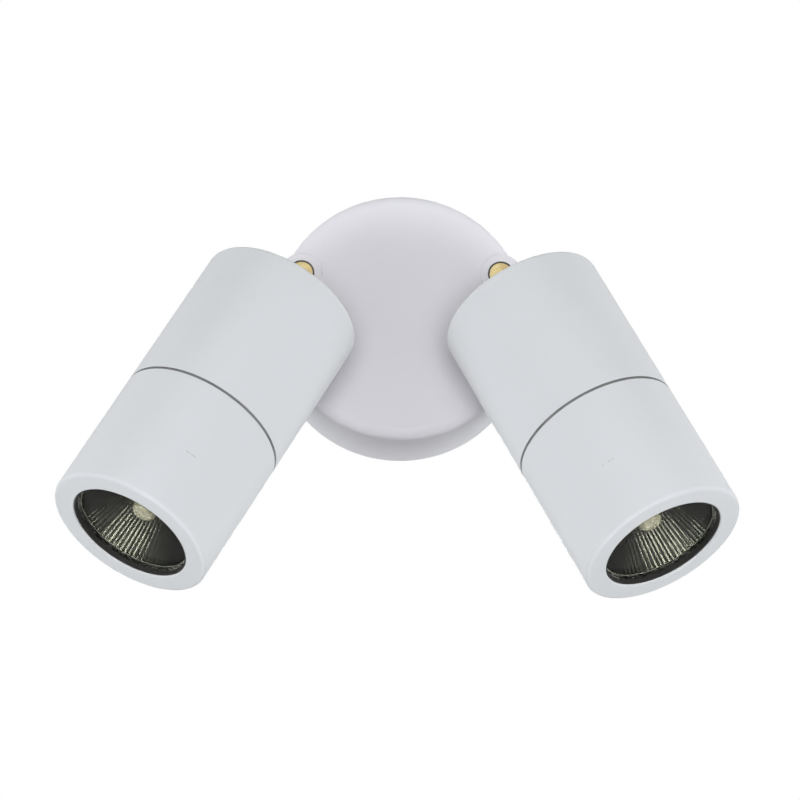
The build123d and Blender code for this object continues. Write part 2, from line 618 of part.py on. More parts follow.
def make_knuckle_head(name):
    """The head's half of the knuckle: a cheek beside the base's cheek and a hollow stem."""
    pivot = Pos(0, -PIVOT_TO_AXIS, -PIVOT_TO_BACK)
    stem_start = CHEEK_RADIUS + FREE_GAP
    stem_length = PIVOT_TO_BACK + STEM_END_Z
    body = across(disc(CHEEK_RADIUS, -CHEEK_THICKNESS / 2, CHEEK_THICKNESS / 2))
    body += Pos(0, 0, stem_start / 2) * Box(CHEEK_THICKNESS, 2 * STEM_RADIUS, stem_start)
    body += disc(STEM_RADIUS, stem_start, stem_length)
    collar_low = PIVOT_TO_BACK - STEM_COLLAR_THICKNESS
    body += disc(STEM_RADIUS + STEM_COLLAR_WIDTH, collar_low, PIVOT_TO_BACK - SEAT)
    body -= cheek_cavity(SIDES[name])
    body -= screw_way()
    body -= disc(LEAD_RADIUS + FREE_GAP, CHEEK_RADIUS - CHEEK_RIM - CUT_PAST, stem_length)
    write(f"{name}_knuckle_head", head_frame(name) * pivot * body)


def make_stem_fixings(name):
    place = head_frame(name) * Pos(0, -PIVOT_TO_AXIS, 0)
    low = BACK_PLATE + SEAT
    washer = ring(STEM_WASHER_RADIUS, STEM_RADIUS + CLOSE_FIT, low, BACK_PLATE + STEM_WASHER_THICKNESS)
    write(f"{name}_stem_washer", place * washer)
    nut_low = BACK_PLATE + STEM_WASHER_THICKNESS + SEAT
    nut = chamfer_hexagon(hexagon(STEM_NUT_FLATS, nut_low, nut_low + STEM_NUT_HEIGHT), STEM_NUT_FLATS)
    nut -= disc(STEM_RADIUS + SEAT, nut_low, nut_low + STEM_NUT_HEIGHT)
    write(f"{name}_stem_nut", place * nut)


def post_places():
    """Three posts about the head's axis, one opposite the stem."""
    return [Rot(0, 0, angle) * Pos(0, POST_CIRCLE, 0) for angle in POST_ANGLES]


def make_rear_body(name):
    high = JOINT_Z - JOINT_GAP
    body = disc(HEAD_RADIUS, 0, high)
    body = fillet(body.edges().group_by(Axis.Z)[0], HEAD_EDGE_RADIUS)
    body = chamfer(body.edges().group_by(Axis.Z)[-1], JOINT_EDGE_CHAMFER)
    body -= disc(SHELL_BORE, BACK_PLATE, high)
    post_end = CARRIER_Z - CARRIER_THICKNESS
    post = disc(POST_RADIUS, BACK_PLATE, post_end)
    rib_width = SHELL_BORE - POST_CIRCLE + OVERLAP
    rib = Box(POST_RIB_THICKNESS, rib_width, post_end - BACK_PLATE)
    for place in post_places():
        body += place * post
        body += place * Pos(0, rib_width / 2, (BACK_PLATE + post_end) / 2) * rib
        body -= place * disc(SCREW_RADIUS + SEAT, post_end - SCREW_LENGTH - CUT_PAST, post_end)
    body -= Pos(0, -PIVOT_TO_AXIS, 0) * disc(STEM_RADIUS + CLOSE_FIT, 0, BACK_PLATE)
    write(f"{name}_rear_body", head_frame(name) * body)


def make_front_barrel(name):
    body = disc(HEAD_RADIUS, JOINT_Z, HEAD_LENGTH)
    body = fillet(body.edges().group_by(Axis.Z)[-1], HEAD_EDGE_RADIUS)
    body = chamfer(body.edges().group_by(Axis.Z)[0], JOINT_EDGE_CHAMFER)
    body -= disc(SHELL_BORE, JOINT_Z, HEAD_LENGTH - FRONT_PLATE)
    spigot_radius = SHELL_BORE - CLOSE_FIT
    spigot_bore = spigot_radius - SPIGOT_WALL
    body += ring(SHELL_BORE + OVERLAP, spigot_bore, JOINT_Z, JOINT_Z + SPIGOT_STEP)
    body += ring(spigot_radius, spigot_bore, JOINT_Z - SPIGOT_LENGTH, JOINT_Z + SPIGOT_STEP)
    body -= disc(MOUTH_RADIUS, HEAD_LENGTH - FRONT_PLATE, HEAD_LENGTH)
    mouth_edge = body.edges().filter_by(GeomType.CIRCLE)
    mouth_edge = mouth_edge.filter_by(lambda edge: abs(edge.radius - MOUTH_RADIUS) < 0.01)
    body = fillet(mouth_edge.group_by(Axis.Z)[-1], MOUTH_EDGE_RADIUS)
    write(f"{name}_front_barrel", head_frame(name) * body)
    seal_low = JOINT_Z - JOINT_GAP + SEAT
    seal = ring(HEAD_RADIUS - JOINT_RING_DEPTH, spigot_radius + SEAT, seal_low, JOINT_Z - SEAT)
    write(f"{name}_joint_ring", head_frame(name) * seal)


def cup_outside():
    """The lamp's solid cup: a rim, a bell and a flat neck, turned about the lamp's axis."""
    front, neck = LAMP_FRONT_Z, LAMP_NECK_Z
    edge = front - LAMP_RIM_HEIGHT
    points = [(LAMP_RADIUS, edge), (0.80 * LAMP_RADIUS, neck + 15.5), (LAMP_NECK_RADIUS, neck)]
    bell = Spline(*points, tangents=((-0.25, -1), (-1, -0.8)))
    sides = [Line((0, front), (0, neck)), Line((0, neck), (LAMP_NECK_RADIUS, neck))]
    sides += [Line((LAMP_RADIUS, edge), (LAMP_RADIUS, front)), Line((LAMP_RADIUS, front), (0, front))]
    return revolve(Plane.XZ * make_face([bell] + sides), Axis.Z)


def cup_inside():
    """The room in the cup: the mirror's bowl down to its floor, and the glass's seat in front."""
    front, floor = LAMP_FRONT_Z, LAMP_NECK_Z + LAMP_FLOOR_THICKNESS
    ledge = front - LAMP_GLASS_THICKNESS - LAMP_GLASS_SUNK - RUNNING_FIT
    rim, throat, seat = LAMP_OPENING_RADIUS, LAMP_NECK_BORE, LAMP_GLASS_RADIUS + SEAT
    points = [(rim, ledge), (0.78 * rim, floor + 13.0), (throat, floor)]
    bowl = Spline(*points, tangents=((-0.35, -1), (-1, -0.7)))
    sides = [Line((0, front), (0, floor)), Line((0, floor), (throat, floor))]
    sides += [Line((rim, ledge), (seat, ledge)), Line((seat, ledge), (seat, front))]
    sides += [Line((seat, front), (0, front))]
    return revolve(Plane.XZ * make_face([bowl] + sides), Axis.Z)


def make_lamp(name):
    place = head_frame(name)
    floor = LAMP_NECK_Z + LAMP_FLOOR_THICKNESS
    cup = cup_outside() - cup_inside() - disc(LAMP_NECK_BORE, LAMP_NECK_Z, floor + CUT_PAST)
    write(f"{name}_lamp_reflector", place * cup)
    glass_front = LAMP_FRONT_Z - LAMP_GLASS_SUNK
    glass = disc(LAMP_GLASS_RADIUS, glass_front - LAMP_GLASS_THICKNESS, glass_front)
    write(f"{name}_lamp_glass", place * glass)
    top = LAMP_NECK_Z + CAPSULE_LENGTH
    capsule = disc(CAPSULE_RADIUS, LAMP_NECK_Z + SEAT, top)
    capsule = fillet(capsule.edges().group_by(Axis.Z)[-1], CAPSULE_RADIUS * 0.8)
    capsule += Pos(0, 0, top - FREE_GAP) * Sphere(CAPSULE_TIP_RADIUS)
    write(f"{name}_lamp_capsule", place * capsule)
    base = disc(LAMP_NECK_RADIUS, LAMP_BASE_Z, LAMP_NECK_Z - SEAT)
    flat = LAMP_NECK_RADIUS - LAMP_BASE_FLAT
    base &= Pos(0, 0, (LAMP_BASE_Z + LAMP_NECK_Z) / 2) * Box(4 * flat, 2 * flat, 2 * LAMP_BASE_LENGTH)
    write(f"{name}_lamp_base", place * base)
    pins = []
    for x in (-LAMP_PIN_SPACING / 2, LAMP_PIN_SPACING / 2):
        end = LAMP_BASE_Z - LAMP_PIN_LENGTH
        pin = disc(LAMP_PIN_RADIUS, end, LAMP_BASE_Z - SEAT)
        pin += disc(LAMP_PIN_HEAD_RADIUS, end, end + LAMP_PIN_HEAD_LENGTH)
        pins.append(place * Pos(x, 0, 0) * pin)
    write(f"{name}_lamp_pins", group(*pins))
    write(f"{name}_lamp_gasket", place * lamp_gasket())


def lamp_gasket():
    """A flange between the lamp's rim and the front plate, with a lip that lines the mouth."""
    bore = MOUTH_RADIUS - LAMP_GASKET_LIP
    low = LAMP_FRONT_Z + SEAT
    flange = ring(LAMP_RADIUS, bore, low, HEAD_LENGTH - FRONT_PLATE - SEAT)
    return flange + ring(MOUTH_RADIUS - SEAT, bore, low, HEAD_LENGTH - MOUTH_EDGE_RADIUS - CLOSE_FIT)


def make_holder(name):
    place = head_frame(name)
    low = CARRIER_Z
    high = LAMP_BASE_Z - FREE_GAP
    body = Pos(0, 0, (low + high) / 2) * Box(HOLDER_LENGTH, HOLDER_WIDTH, high - low)
    body = fillet(body.edges().filter_by(Axis.Z), HOLDER_CORNER_RADIUS)
    lug_x = HOLDER_LENGTH / 2 - HOLDER_LUG_INSET
    lug_z = low + HOLDER_LUG_HEIGHT
    socket_low = LAMP_BASE_Z - LAMP_PIN_LENGTH - HOLDER_PIN_ROOM
    for x in (-LAMP_PIN_SPACING / 2, LAMP_PIN_SPACING / 2):
        body -= Pos(x, 0, 0) * disc(LAMP_PIN_HEAD_RADIUS + FREE_GAP, socket_low, high)
    for x in (-lug_x, lug_x):
        body -= Pos(x, 0, 0) * disc(SCREW_RADIUS + CLOSE_FIT, low, high)
        body -= Pos(x, 0, 0) * disc(SCREW_HEAD_RADIUS + CLOSE_FIT, lug_z, high)
    for x in (-HEAD_CORE_X, HEAD_CORE_X):
        body -= Pos(x, 0, 0) * disc(CORE_RADIUS + CLOSE_FIT, low, low + HOLDER_CORE_DEPTH)
    write(f"{name}_lampholder", place * body)
    lug_screw = Pos(0, 0, lug_z + SEAT) * screw(HOLDER_LUG_HEIGHT + CARRIER_THICKNESS)
    screws = [place * Pos(x, 0, 0) * lug_screw for x in (-lug_x, lug_x)]
    plate = disc(SHELL_BORE - FREE_GAP, low - CARRIER_THICKNESS, low - SEAT)
    plate -= disc(CARRIER_WINDOW_RADIUS, low - CARRIER_THICKNESS, low)
    for x in (-lug_x, lug_x):
        plate -= Pos(x, 0, 0) * disc(SCREW_RADIUS + SEAT, low - CARRIER_THICKNESS, low)
    for spot in post_places():
        plate -= spot * disc(SCREW_RADIUS + CLOSE_FIT, low - CARRIER_THICKNESS, low)
        screws.append(place * spot * Pos(0, 0, low) * screw(SCREW_LENGTH + CARRIER_THICKNESS))
    write(f"{name}_lamp_carrier", place * plate)
    write(f"{name}_holder_screws", group(*screws))


def make_head_leads(name):
    """Sleeved lead from the cheek through the stem, then two cores to the lampholder."""
    place = head_frame(name)
    cheek_reach = CHEEK_RADIUS - CHEEK_RIM - OVERLAP - FREE_GAP
    start = (0, -PIVOT_TO_AXIS, cheek_reach - PIVOT_TO_BACK)
    out = (0, -PIVOT_TO_AXIS, STEM_END_Z + HEAD_LEAD_RISE)
    sleeve_z = STEM_END_Z + HEAD_LEAD_SHARE * (CARRIER_Z - STEM_END_Z)
    sleeve_end = (0, HEAD_LEAD_ACROSS - PIVOT_TO_AXIS, sleeve_z)
    pieces = [place * lead([start, out, sleeve_end], LEAD_RADIUS)]
    for side in (-1, 1):
        beside = side * (CORE_RADIUS + RUNNING_FIT)
        begin = (beside, sleeve_end[1] + SEAT, sleeve_end[2] + RUNNING_FIT)
        bend = (side * HEAD_CORE_X / 2, -HEAD_LEAD_ACROSS, CARRIER_Z - 2 * HEAD_CORE_BELOW)
        under = (side * HEAD_CORE_X, 0, CARRIER_Z - HEAD_CORE_BELOW)
        inside = (side * HEAD_CORE_X, 0, CARRIER_Z + HEAD_CORE_BITE)
        pieces.append(place * lead([begin, bend, under, inside], CORE_RADIUS, CORE_BEND_SHARE))
    write(f"{name}_head_lead", group(*pieces))


make_canopy()
make_bracket()
make_grub_screws()
make_grommet()
make_terminal_block()
make_earth_terminal()
make_canopy_leads()
make_bushes()
for name in SIDES:
    make_shank_fixings(name)
    make_knuckle_base(name)
    make_swivel_lead(name)
    make_pivot_parts(name)
    make_knuckle_head(name)
    make_stem_fixings(name)
    make_rear_body(name)
    make_front_barrel(name)
    make_lamp(name)
    make_holder(name)
    make_head_leads(name)
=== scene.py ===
import json
import math
import random

import bpy
from mathutils import Matrix, Vector


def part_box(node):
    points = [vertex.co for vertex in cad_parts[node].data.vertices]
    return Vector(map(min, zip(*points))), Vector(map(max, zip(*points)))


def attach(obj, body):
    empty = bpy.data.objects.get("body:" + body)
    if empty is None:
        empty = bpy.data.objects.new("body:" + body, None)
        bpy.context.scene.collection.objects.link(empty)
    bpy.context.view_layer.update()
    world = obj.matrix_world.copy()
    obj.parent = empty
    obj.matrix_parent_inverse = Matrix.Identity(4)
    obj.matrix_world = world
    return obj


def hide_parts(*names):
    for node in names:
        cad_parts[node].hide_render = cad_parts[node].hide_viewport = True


# A wall light with two spotlight heads on brass swivels. Metres, in the row's own frame:
# the wall is y = 0, the front faces -Y, X runs to the right, Z is up.

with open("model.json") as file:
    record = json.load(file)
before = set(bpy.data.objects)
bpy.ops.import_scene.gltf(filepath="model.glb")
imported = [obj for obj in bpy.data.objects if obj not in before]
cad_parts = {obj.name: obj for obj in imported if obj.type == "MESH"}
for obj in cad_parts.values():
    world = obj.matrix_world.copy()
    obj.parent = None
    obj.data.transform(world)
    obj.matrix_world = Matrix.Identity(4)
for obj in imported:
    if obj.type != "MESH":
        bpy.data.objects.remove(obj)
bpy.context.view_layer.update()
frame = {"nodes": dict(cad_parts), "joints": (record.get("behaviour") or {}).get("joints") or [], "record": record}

SIDES = ("left", "right")
MM = 0.001
WHITE = (1, 1, 1, 1)

# Lamp: heights run from its front plane, minus into the head.
MIRROR_LIP_RADIUS = 22.5 * MM
MIRROR_THROAT_RADIUS = 6.2 * MM
MIRROR_LIP_WIDTH = 0.3 * MM
MIRROR_LIP_Z = -1.9 * MM
MIRROR_FLOOR_Z = -29.0 * MM
MIRROR_NECK_Z = -34.0 * MM
MIRROR_NECK_RADIUS = 10.5 * MM
MIRROR_RIM_RADIUS = 25.0 * MM
MIRROR_RIM_HEIGHT = 3.5 * MM
MIRROR_BELL_POINT = (22.2 * MM, -21.0 * MM)
MIRROR_SEED = 7
BOWL_STEPS = 26
BELL_STEPS = 10
RIM_STEPS = 5                      # rows from the lip to the start of the bell
GLASS_SEAT_RADIUS = 23.62 * MM
GLASS_MIDDLE_Z = -1.1 * MM
FLUTES = 72
FLUTE_COLUMNS = 6
FLUTE_DEPTH_RIM = 0.20 * MM
FLUTE_DEPTH_THROAT = 0.15 * MM
FLUTE_LEAN = 0.12                  # of a flute's width, either way
FLUTE_UNEVEN = 0.25                # of a flute's depth, either way
CAPSULE_RADIUS = 4.6 * MM
CAPSULE_LOW_Z = MIRROR_NECK_Z + 0.1 * MM
CAPSULE_SHOULDER_Z = -9.0 * MM
CAPSULE_TIP_RADIUS = 1.1 * MM
CAPSULE_TIP_Z = -6.2 * MM
CAPSULE_WALL = 0.9 * MM
CAPSULE_COLUMNS = 48
CAVITY_LOW_Z = -25.0 * MM
CAVITY_SHOULDER_Z = CAPSULE_SHOULDER_Z - 0.6 * MM
CAVITY_HIGH_Z = -7.6 * MM
FOOT_SHARE = 0.5                   # the tube's closed foot narrows to this share of its radius
FOOT_HEIGHT = 0.4 * MM
SHOULDER_STEPS = 9
SHOULDER_SHARE = 0.8               # of the height from shoulder to tip; the drawn tip has the rest
TIP_STEPS = 6
COIL_RADIUS = 1.05 * MM
COIL_WIRE = 0.16 * MM
COIL_TURNS = 16
COIL_TURN_STEPS = 14
COIL_LOW_Z = -21.0 * MM
COIL_HIGH_Z = -13.0 * MM
COIL_START_Z = COIL_LOW_Z - 0.6 * MM
WIRE_END_Z = CAVITY_LOW_Z - 1 * MM
RETURN_HIGH = (COIL_RADIUS * 2, COIL_HIGH_Z + 0.5 * MM)
RETURN_LOW = (COIL_RADIUS * 2.3, WIRE_END_Z)
WIRE_COLUMNS = 8
CEMENT_HIGH_Z = -28.3 * MM
CEMENT_GAP = 0.05 * MM
CEMENT_UNEVEN = 0.18 * MM
CEMENT_SEED = 11

PLACES_PER_METRE = 1e6             # corners this near count as one place

# Joint between rear body and front barrel: radius and half height of each row of the seal.
SEAL_Z = -51.85 * MM
SEAL_PROFILE = ((30.12 * MM, 0.43 * MM), (31.74 * MM, 0.43 * MM),
                (31.88 * MM, 0.54 * MM), (31.95 * MM, 0.32 * MM))
SEAL_COLUMNS = 180

# Finishes, in linear colours.
NOISE_SPREAD = (0.3, 0.7)          # nearly all of a noise's values lie between these
HEAD_WHITE = (0.655, 0.665, 0.682, 1)
# The canopy is the heads' powder coat made lighter: painted light that makes up for the shade the heads cast on
# it.
CANOPY_WHITE_PAINTED_LIGHT = (0.880, 0.872, 0.912, 1)
PAINT_GRAIN = 0.45 * MM
SPECK_SPACING = 5 * MM
SPECK_RADIUS = 0.024               # of their spacing
SPECK_SHARE = 0.10                 # of the cells have one
SCRATCH_COLOUR = (0.42, 0.42, 0.43, 1)
SCRATCH_Z = -22.2 * MM
SCRATCH_ANGLES = {"left": (79.6, 70.7), "right": (100.4, 109.3)}
SCRATCH_WIDTH = 0.30 * MM
SCRATCH_CORE = 0.4                 # of its width is at full strength
SCRATCH_STRENGTH = 0.8
SCRATCH_DASH = 1.6 * MM
HEAD_RADIUS = 32.0 * MM

# Camera: below the light and looking up at it.
CAMERA_RISE = math.radians(14.85)
CAMERA_TURN = math.radians(-1.29)
CAMERA_DISTANCE = 1.785
CAMERA_TARGET = Vector((-0.0006, -0.040, -0.0358))
CAMERA_LENS = 208.3
CAMERA_SENSOR = 36
CAMERA_FAR = 50

# Stage.
FLOOR_Z = -2.0
FLOOR_SIZE = 14.0
FLOOR_GREY = (0.38, 0.38, 0.38, 1)
FLOOR_GLOW = 0.95
WORLD_COLOUR = (0.985, 1.0, 1.02, 1)
WORLD_LIGHT = 0.40
WORLD_TOP_LIGHT = WORLD_LIGHT * 0.2
WORLD_FADE = (-0.2, 0.7)           # upward part of the direction where the light fades
LIGHT_AIM = (0, 0, -0.03)
SIDE_LIGHT = (0.96, 0.99, 1.0)


class Nodes:
    """Short ways to add and join the nodes of one tree."""

    def __init__(self, tree):
        self.tree = tree

    def give(self, socket, value):
        """Give a socket a value or a link."""
        if isinstance(value, bpy.types.NodeSocket):
            self.tree.links.new(value, socket)
        else:
            socket.default_value = value

    def node(self, kind, inputs=None, **settings):
        made = self.tree.nodes.new(kind)
        for name, value in settings.items():
            setattr(made, name, value)
        for name, value in (inputs or {}).items():
            self.give(made.inputs[name], value)
        return made

    def remap(self, value, low, high, to_low=0.0, to_high=1.0):
        inputs = {"Value": value, "From Min": low, "From Max": high,
                  "To Min": to_low, "To Max": to_high}
        return self.node("ShaderNodeMapRange", inputs).outputs["Result"]

    def math(self, operation, first, second=0.0):
        inputs = {0: first, 1: second}
        return self.node("ShaderNodeMath", inputs, operation=operation).outputs[0]

    def vector_math(self, operation, first, second):
        return self.node("ShaderNodeVectorMath", {0: first, 1: second}, operation=operation)

    def mix(self, share, first, second):
        """A mix of two colours: the node's sockets for them are 6 and 7, and 2 is its result."""
        inputs = {0: share, 6: first, 7: second}
        return self.node("ShaderNodeMix", inputs, data_type="RGBA").outputs[2]

    def first_channel(self, colour):
        return self.node("ShaderNodeSeparateColor", {0: colour}).outputs[0]

    def seen_directly(self):
        """1 for rays from the camera, a mirror or glass, which see the plain white background."""
        path = self.node("ShaderNodeLightPath")
        seen = path.outputs["Is Camera Ray"]
        for name in ("Is Glossy Ray", "Is Transmission Ray"):
            seen = self.math("MAXIMUM", seen, path.outputs[name])
        return seen


class Finish(Nodes):
    """A material on the Principled shader."""

    def __init__(self, name, colour, roughness, metallic=0.0):
        self.material = bpy.data.materials.new(name)
        self.material.use_nodes = True
        super().__init__(self.material.node_tree)
        self.shader = self.tree.nodes["Principled BSDF"]
        self.colour = colour
        self.set("Base Color", colour)
        self.set("Roughness", roughness)
        self.set("Metallic", metallic)
        self.place = self.node("ShaderNodeTexCoord").outputs["Object"]

    def set(self, socket, value):
        """Give one of the shader's sockets a value or a link."""
        self.give(self.shader.inputs[socket], value)

    def noise(self, size, detail=2.0, roughness=0.5):
        """Noise whose features are about that many metres across, from 0 to 1."""
        inputs = {"Vector": self.place, "Scale": 1 / size, "Detail": detail, "Roughness": roughness}
        return self.node("ShaderNodeTexNoise", inputs).outputs["Fac"]

    def cells(self, size):
        """Cells about that many metres apart: each one's colour, and the distance to its middle."""
        inputs = {"Vector": self.place, "Scale": 1 / size}
        return self.node("ShaderNodeTexVoronoi", inputs).outputs

    def moved_to(self, origin):
        """The point's place as seen from an origin."""
        inputs = {"Vector": self.place, "Location": origin}
        return self.node("ShaderNodeMapping", inputs, vector_type="TEXTURE").outputs["Vector"]

    def bump(self, height, depth):
        """Bump of that many metres from a height of 0 to 1."""
        inputs = {"Height": height, "Distance": depth, "Strength": 1.0}
        self.set("Normal", self.node("ShaderNodeBump", inputs).outputs["Normal"])

    def vary_colour(self, share, size):
        """Cloud the colour by a small share of its brightness, and return the clouded colour."""
        dark = tuple(part * (1 - share) for part in self.colour[:3]) + (1,)
        light = tuple(min(1.0, part * (1 + share)) for part in self.colour[:3]) + (1,)
        mixed = self.mix(self.remap(self.noise(size, 3.0), *NOISE_SPREAD), dark, light)
        self.set("Base Color", mixed)
        return mixed

    def vary_roughness(self, low, high, size):
        self.set("Roughness", self.remap(self.noise(size, 4.0), *NOISE_SPREAD, low, high))


def middle(node):
    low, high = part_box(node)
    return (low + high) / 2


def joint_named(name):
    return next(joint for joint in frame["joints"] if joint["name"] == name)


def head_place(side):
    """The head's own frame at the lamp's front plane: x across, y off the wall, z to its mouth."""
    glass = middle(f"{side}_lamp_glass")
    axis = (glass - middle(f"{side}_lamp_base")).normalized()
    across = -Vector(joint_named(f"{side}_tilt")["axis"]).normalized()
    place = Matrix((across, axis.cross(across), axis)).transposed().to_4x4()
    place.translation = glass - axis * GLASS_MIDDLE_Z
    return place


# Finishes.


def powder_coat(name, colour, scratch=None):
    """Satin powder coat: fine grain, faint clouding, a few specks and, on a head, a scratch."""
    finish = Finish(name, colour, 0.5)
    clouded = finish.vary_colour(0.012, 35 * MM)
    finish.vary_roughness(0.44, 0.56, 3 * MM)
    finish.bump(finish.noise(PAINT_GRAIN, 2.0, 0.55), 0.012 * MM)
    finish.set("Specular IOR Level", 0.35)
    finish.set("Diffuse Roughness", 0.8)
    specks = finish.cells(SPECK_SPACING)
    near = finish.math("LESS_THAN", specks["Distance"], SPECK_RADIUS)
    present = finish.math("LESS_THAN", finish.first_channel(specks["Color"]), SPECK_SHARE)
    marks = finish.math("MULTIPLY", near, present)
    if scratch:
        marks = finish.math("MAXIMUM", marks, broken_line(finish, *scratch))
    finish.set("Base Color", finish.mix(marks, clouded, SCRATCH_COLOUR))
    return finish


def broken_line(finish, start, end):
    """The strength of a thin broken line from start to end, and 0 elsewhere."""
    along = end - start
    from_start = finish.vector_math("SUBTRACT", finish.place, start).outputs["Vector"]
    per_length = along / along.length_squared
    share = finish.vector_math("DOT_PRODUCT", from_start, per_length).outputs["Value"]
    foot = finish.node("ShaderNodeVectorMath", {0: along, "Scale": share}, operation="SCALE")
    gap = finish.vector_math("DISTANCE", from_start, foot.outputs["Vector"]).outputs["Value"]
    thin = finish.remap(gap, SCRATCH_WIDTH * SCRATCH_CORE, SCRATCH_WIDTH, SCRATCH_STRENGTH, 0.0)
    off_middle = finish.math("ABSOLUTE", finish.math("SUBTRACT", share, 0.5))
    within = finish.math("LESS_THAN", off_middle, 0.5)
    broken = finish.remap(finish.noise(SCRATCH_DASH, 1.0), 0.42, 0.52)
    return finish.math("MULTIPLY", finish.math("MULTIPLY", thin, within), broken)


def plated_steel():
    """Bright zinc plate: a fine crystal pattern and light drawing marks."""
    finish = Finish("zinc_plate", (0.62, 0.63, 0.64, 1), 0.34, metallic=1.0)
    shade = finish.first_channel(finish.cells(1.6 * MM)["Color"])
    finish.set("Base Color", finish.mix(shade, (0.56, 0.57, 0.58, 1), (0.68, 0.69, 0.70, 1)))
    finish.vary_roughness(0.26, 0.42, 0.8 * MM)
    finish.bump(finish.noise(0.3 * MM, 3.0), 0.006 * MM)
    return finish


def turned_brass(side):
    """Turned brass: fine rings about the swivel's axis and a little tarnish."""
    finish = Finish(f"brass_{side}", (0.60, 0.50, 0.25, 1), 0.30, metallic=1.0)
    at_ear = finish.moved_to(Vector(joint_named(f"{side}_pan")["pos_m"]))
    waves = {"Vector": at_ear, "Scale": 1 / (2.4 * MM),
             "Distortion": 0.6, "Detail": 2.0, "Detail Scale": 1.5}
    rings = finish.node("ShaderNodeTexWave", waves, wave_type="RINGS", rings_direction="Y")
    tarnish = finish.remap(finish.noise(4 * MM, 4.0), 0.35, 0.75)
    finish.set("Base Color", finish.mix(tarnish, (0.64, 0.53, 0.27, 1), (0.44, 0.34, 0.16, 1)))
    finish.vary_roughness(0.24, 0.38, 1.5 * MM)
    finish.bump(rings.outputs["Fac"], 0.004 * MM)
    return finish


def matt_rubber(name, colour, roughness, grain=0.5 * MM):
    """Rubber, or a dull moulded plastic, with a fine grain."""
    finish = Finish(name, colour, roughness)
    finish.vary_colour(0.18, 6 * MM)
    finish.vary_roughness(roughness - 0.08, roughness + 0.06, 2 * MM)
    finish.bump(finish.noise(grain, 3.0), 0.012 * MM)
    return finish


def moulded_nylon():
    """Natural nylon of the terminal block: milky, with soft flow marks."""
    finish = Finish("natural_nylon", (0.80, 0.80, 0.77, 1), 0.42)
    finish.vary_colour(0.03, 5 * MM)
    finish.vary_roughness(0.36, 0.50, 2 * MM)
    finish.bump(finish.noise(0.6 * MM, 2.0), 0.008 * MM)
    finish.set("Subsurface Weight", 0.15)
    finish.set("Subsurface Scale", 1.5 * MM)
    return finish


def braided_sleeve():
    """Off-white heat-resistant sleeve: two crossing threads, worked out in space."""
    finish = Finish("fibre_sleeve", (0.74, 0.73, 0.69, 1), 0.8)
    threads = []
    for slant in (math.radians(40), math.radians(-40)):
        turn = {"Vector": finish.place, "Rotation": (slant, 0, slant)}
        turned = finish.node("ShaderNodeMapping", turn)
        waves = {"Vector": turned.outputs["Vector"], "Scale": 1 / (3.2 * MM), "Distortion": 0.4}
        wave = finish.node("ShaderNodeTexWave", waves, bands_direction="Z")
        threads.append(wave.outputs["Fac"])
    braid = finish.math("MAXIMUM", *threads)
    finish.set("Base Color", finish.mix(braid, (0.50, 0.49, 0.45, 1), (0.78, 0.77, 0.73, 1)))
    finish.bump(braid, 0.05 * MM)
    return finish


def core_insulation(name, colour):
    """Smooth coloured insulation of a lead's core."""
    finish = Finish(name, colour, 0.38)
    finish.vary_colour(0.06, 2 * MM)
    finish.bump(finish.noise(0.4 * MM, 2.0), 0.006 * MM)
    return finish


def fired_ceramic():
    """Unglazed steatite: off-white, fine-grained, with pale grey flecks."""
    finish = Finish("steatite", (0.80, 0.78, 0.71, 1), 0.62)
    flecks = finish.remap(finish.noise(0.5 * MM, 4.0, 0.7), 0.45, 0.72)
    finish.set("Base Color", finish.mix(flecks, (0.82, 0.80, 0.74, 1), (0.66, 0.63, 0.56, 1)))
    finish.bump(finish.noise(0.25 * MM, 4.0), 0.02 * MM)
    return finish


def dark_mirror_painted_reflection():
    """The mirror's coat: a near-black, faintly olive metal that is a painted dark reflection of the surroundings,
    with slight ripples.
    """
    finish = Finish("dichroic_mirror_painted_dark", (0.060, 0.061, 0.049, 1), 0.12, metallic=1.0)
    finish.vary_colour(0.2, 4 * MM)
    finish.vary_roughness(0.10, 0.18, 1.2 * MM)
    finish.set("Specular Tint", (0.30, 0.30, 0.25, 1))
    finish.bump(finish.noise(3 * MM, 2.0), 0.0008 * MM)
    return finish


def dark_glass_painted_shade():
    """The lamp's glass outside the mirror: nearly black, partly its own dark glass and partly painted shade for
    the dark band at the rim, with a soft shine and ripples.
    """
    finish = Finish("lamp_body_painted_shade", (0.030, 0.030, 0.028, 1), 0.28)
    finish.vary_colour(0.15, 5 * MM)
    finish.vary_roughness(0.22, 0.36, 2 * MM)
    finish.bump(finish.noise(2 * MM, 2.0), 0.01 * MM)
    return finish


def ground_edge_and_painted_highlight():
    """The ground front edge of the mirror's glass, paler than the glass beside it: partly the ground glass itself
    and partly a painted highlight that draws a thin line of light at the rim.
    """
    finish = Finish("ground_edge_and_painted_highlight", (0.30, 0.31, 0.27, 1), 0.45)
    finish.vary_colour(0.35, 1.5 * MM)
    finish.bump(finish.noise(0.3 * MM, 2.0), 0.01 * MM)
    return finish


def clear_glass(name, colour, roughness, bend, clear=1.0):
    """Glass with a faint film that roughens it here and there; bend is its refractive index."""
    finish = Finish(name, colour, roughness)
    finish.set("Transmission Weight", clear)
    finish.set("IOR", bend)
    finish.vary_roughness(0.0, roughness, 6 * MM)
    finish.bump(finish.noise(2.5 * MM, 1.0), 0.002 * MM)
    return finish


def tungsten():
    """The filament's dull grey wire."""
    finish = Finish("tungsten", (0.30, 0.29, 0.28, 1), 0.4, metallic=1.0)
    finish.vary_colour(0.15, 0.5 * MM)
    finish.bump(finish.noise(0.08 * MM, 2.0), 0.003 * MM)
    return finish


# Modelled pieces.


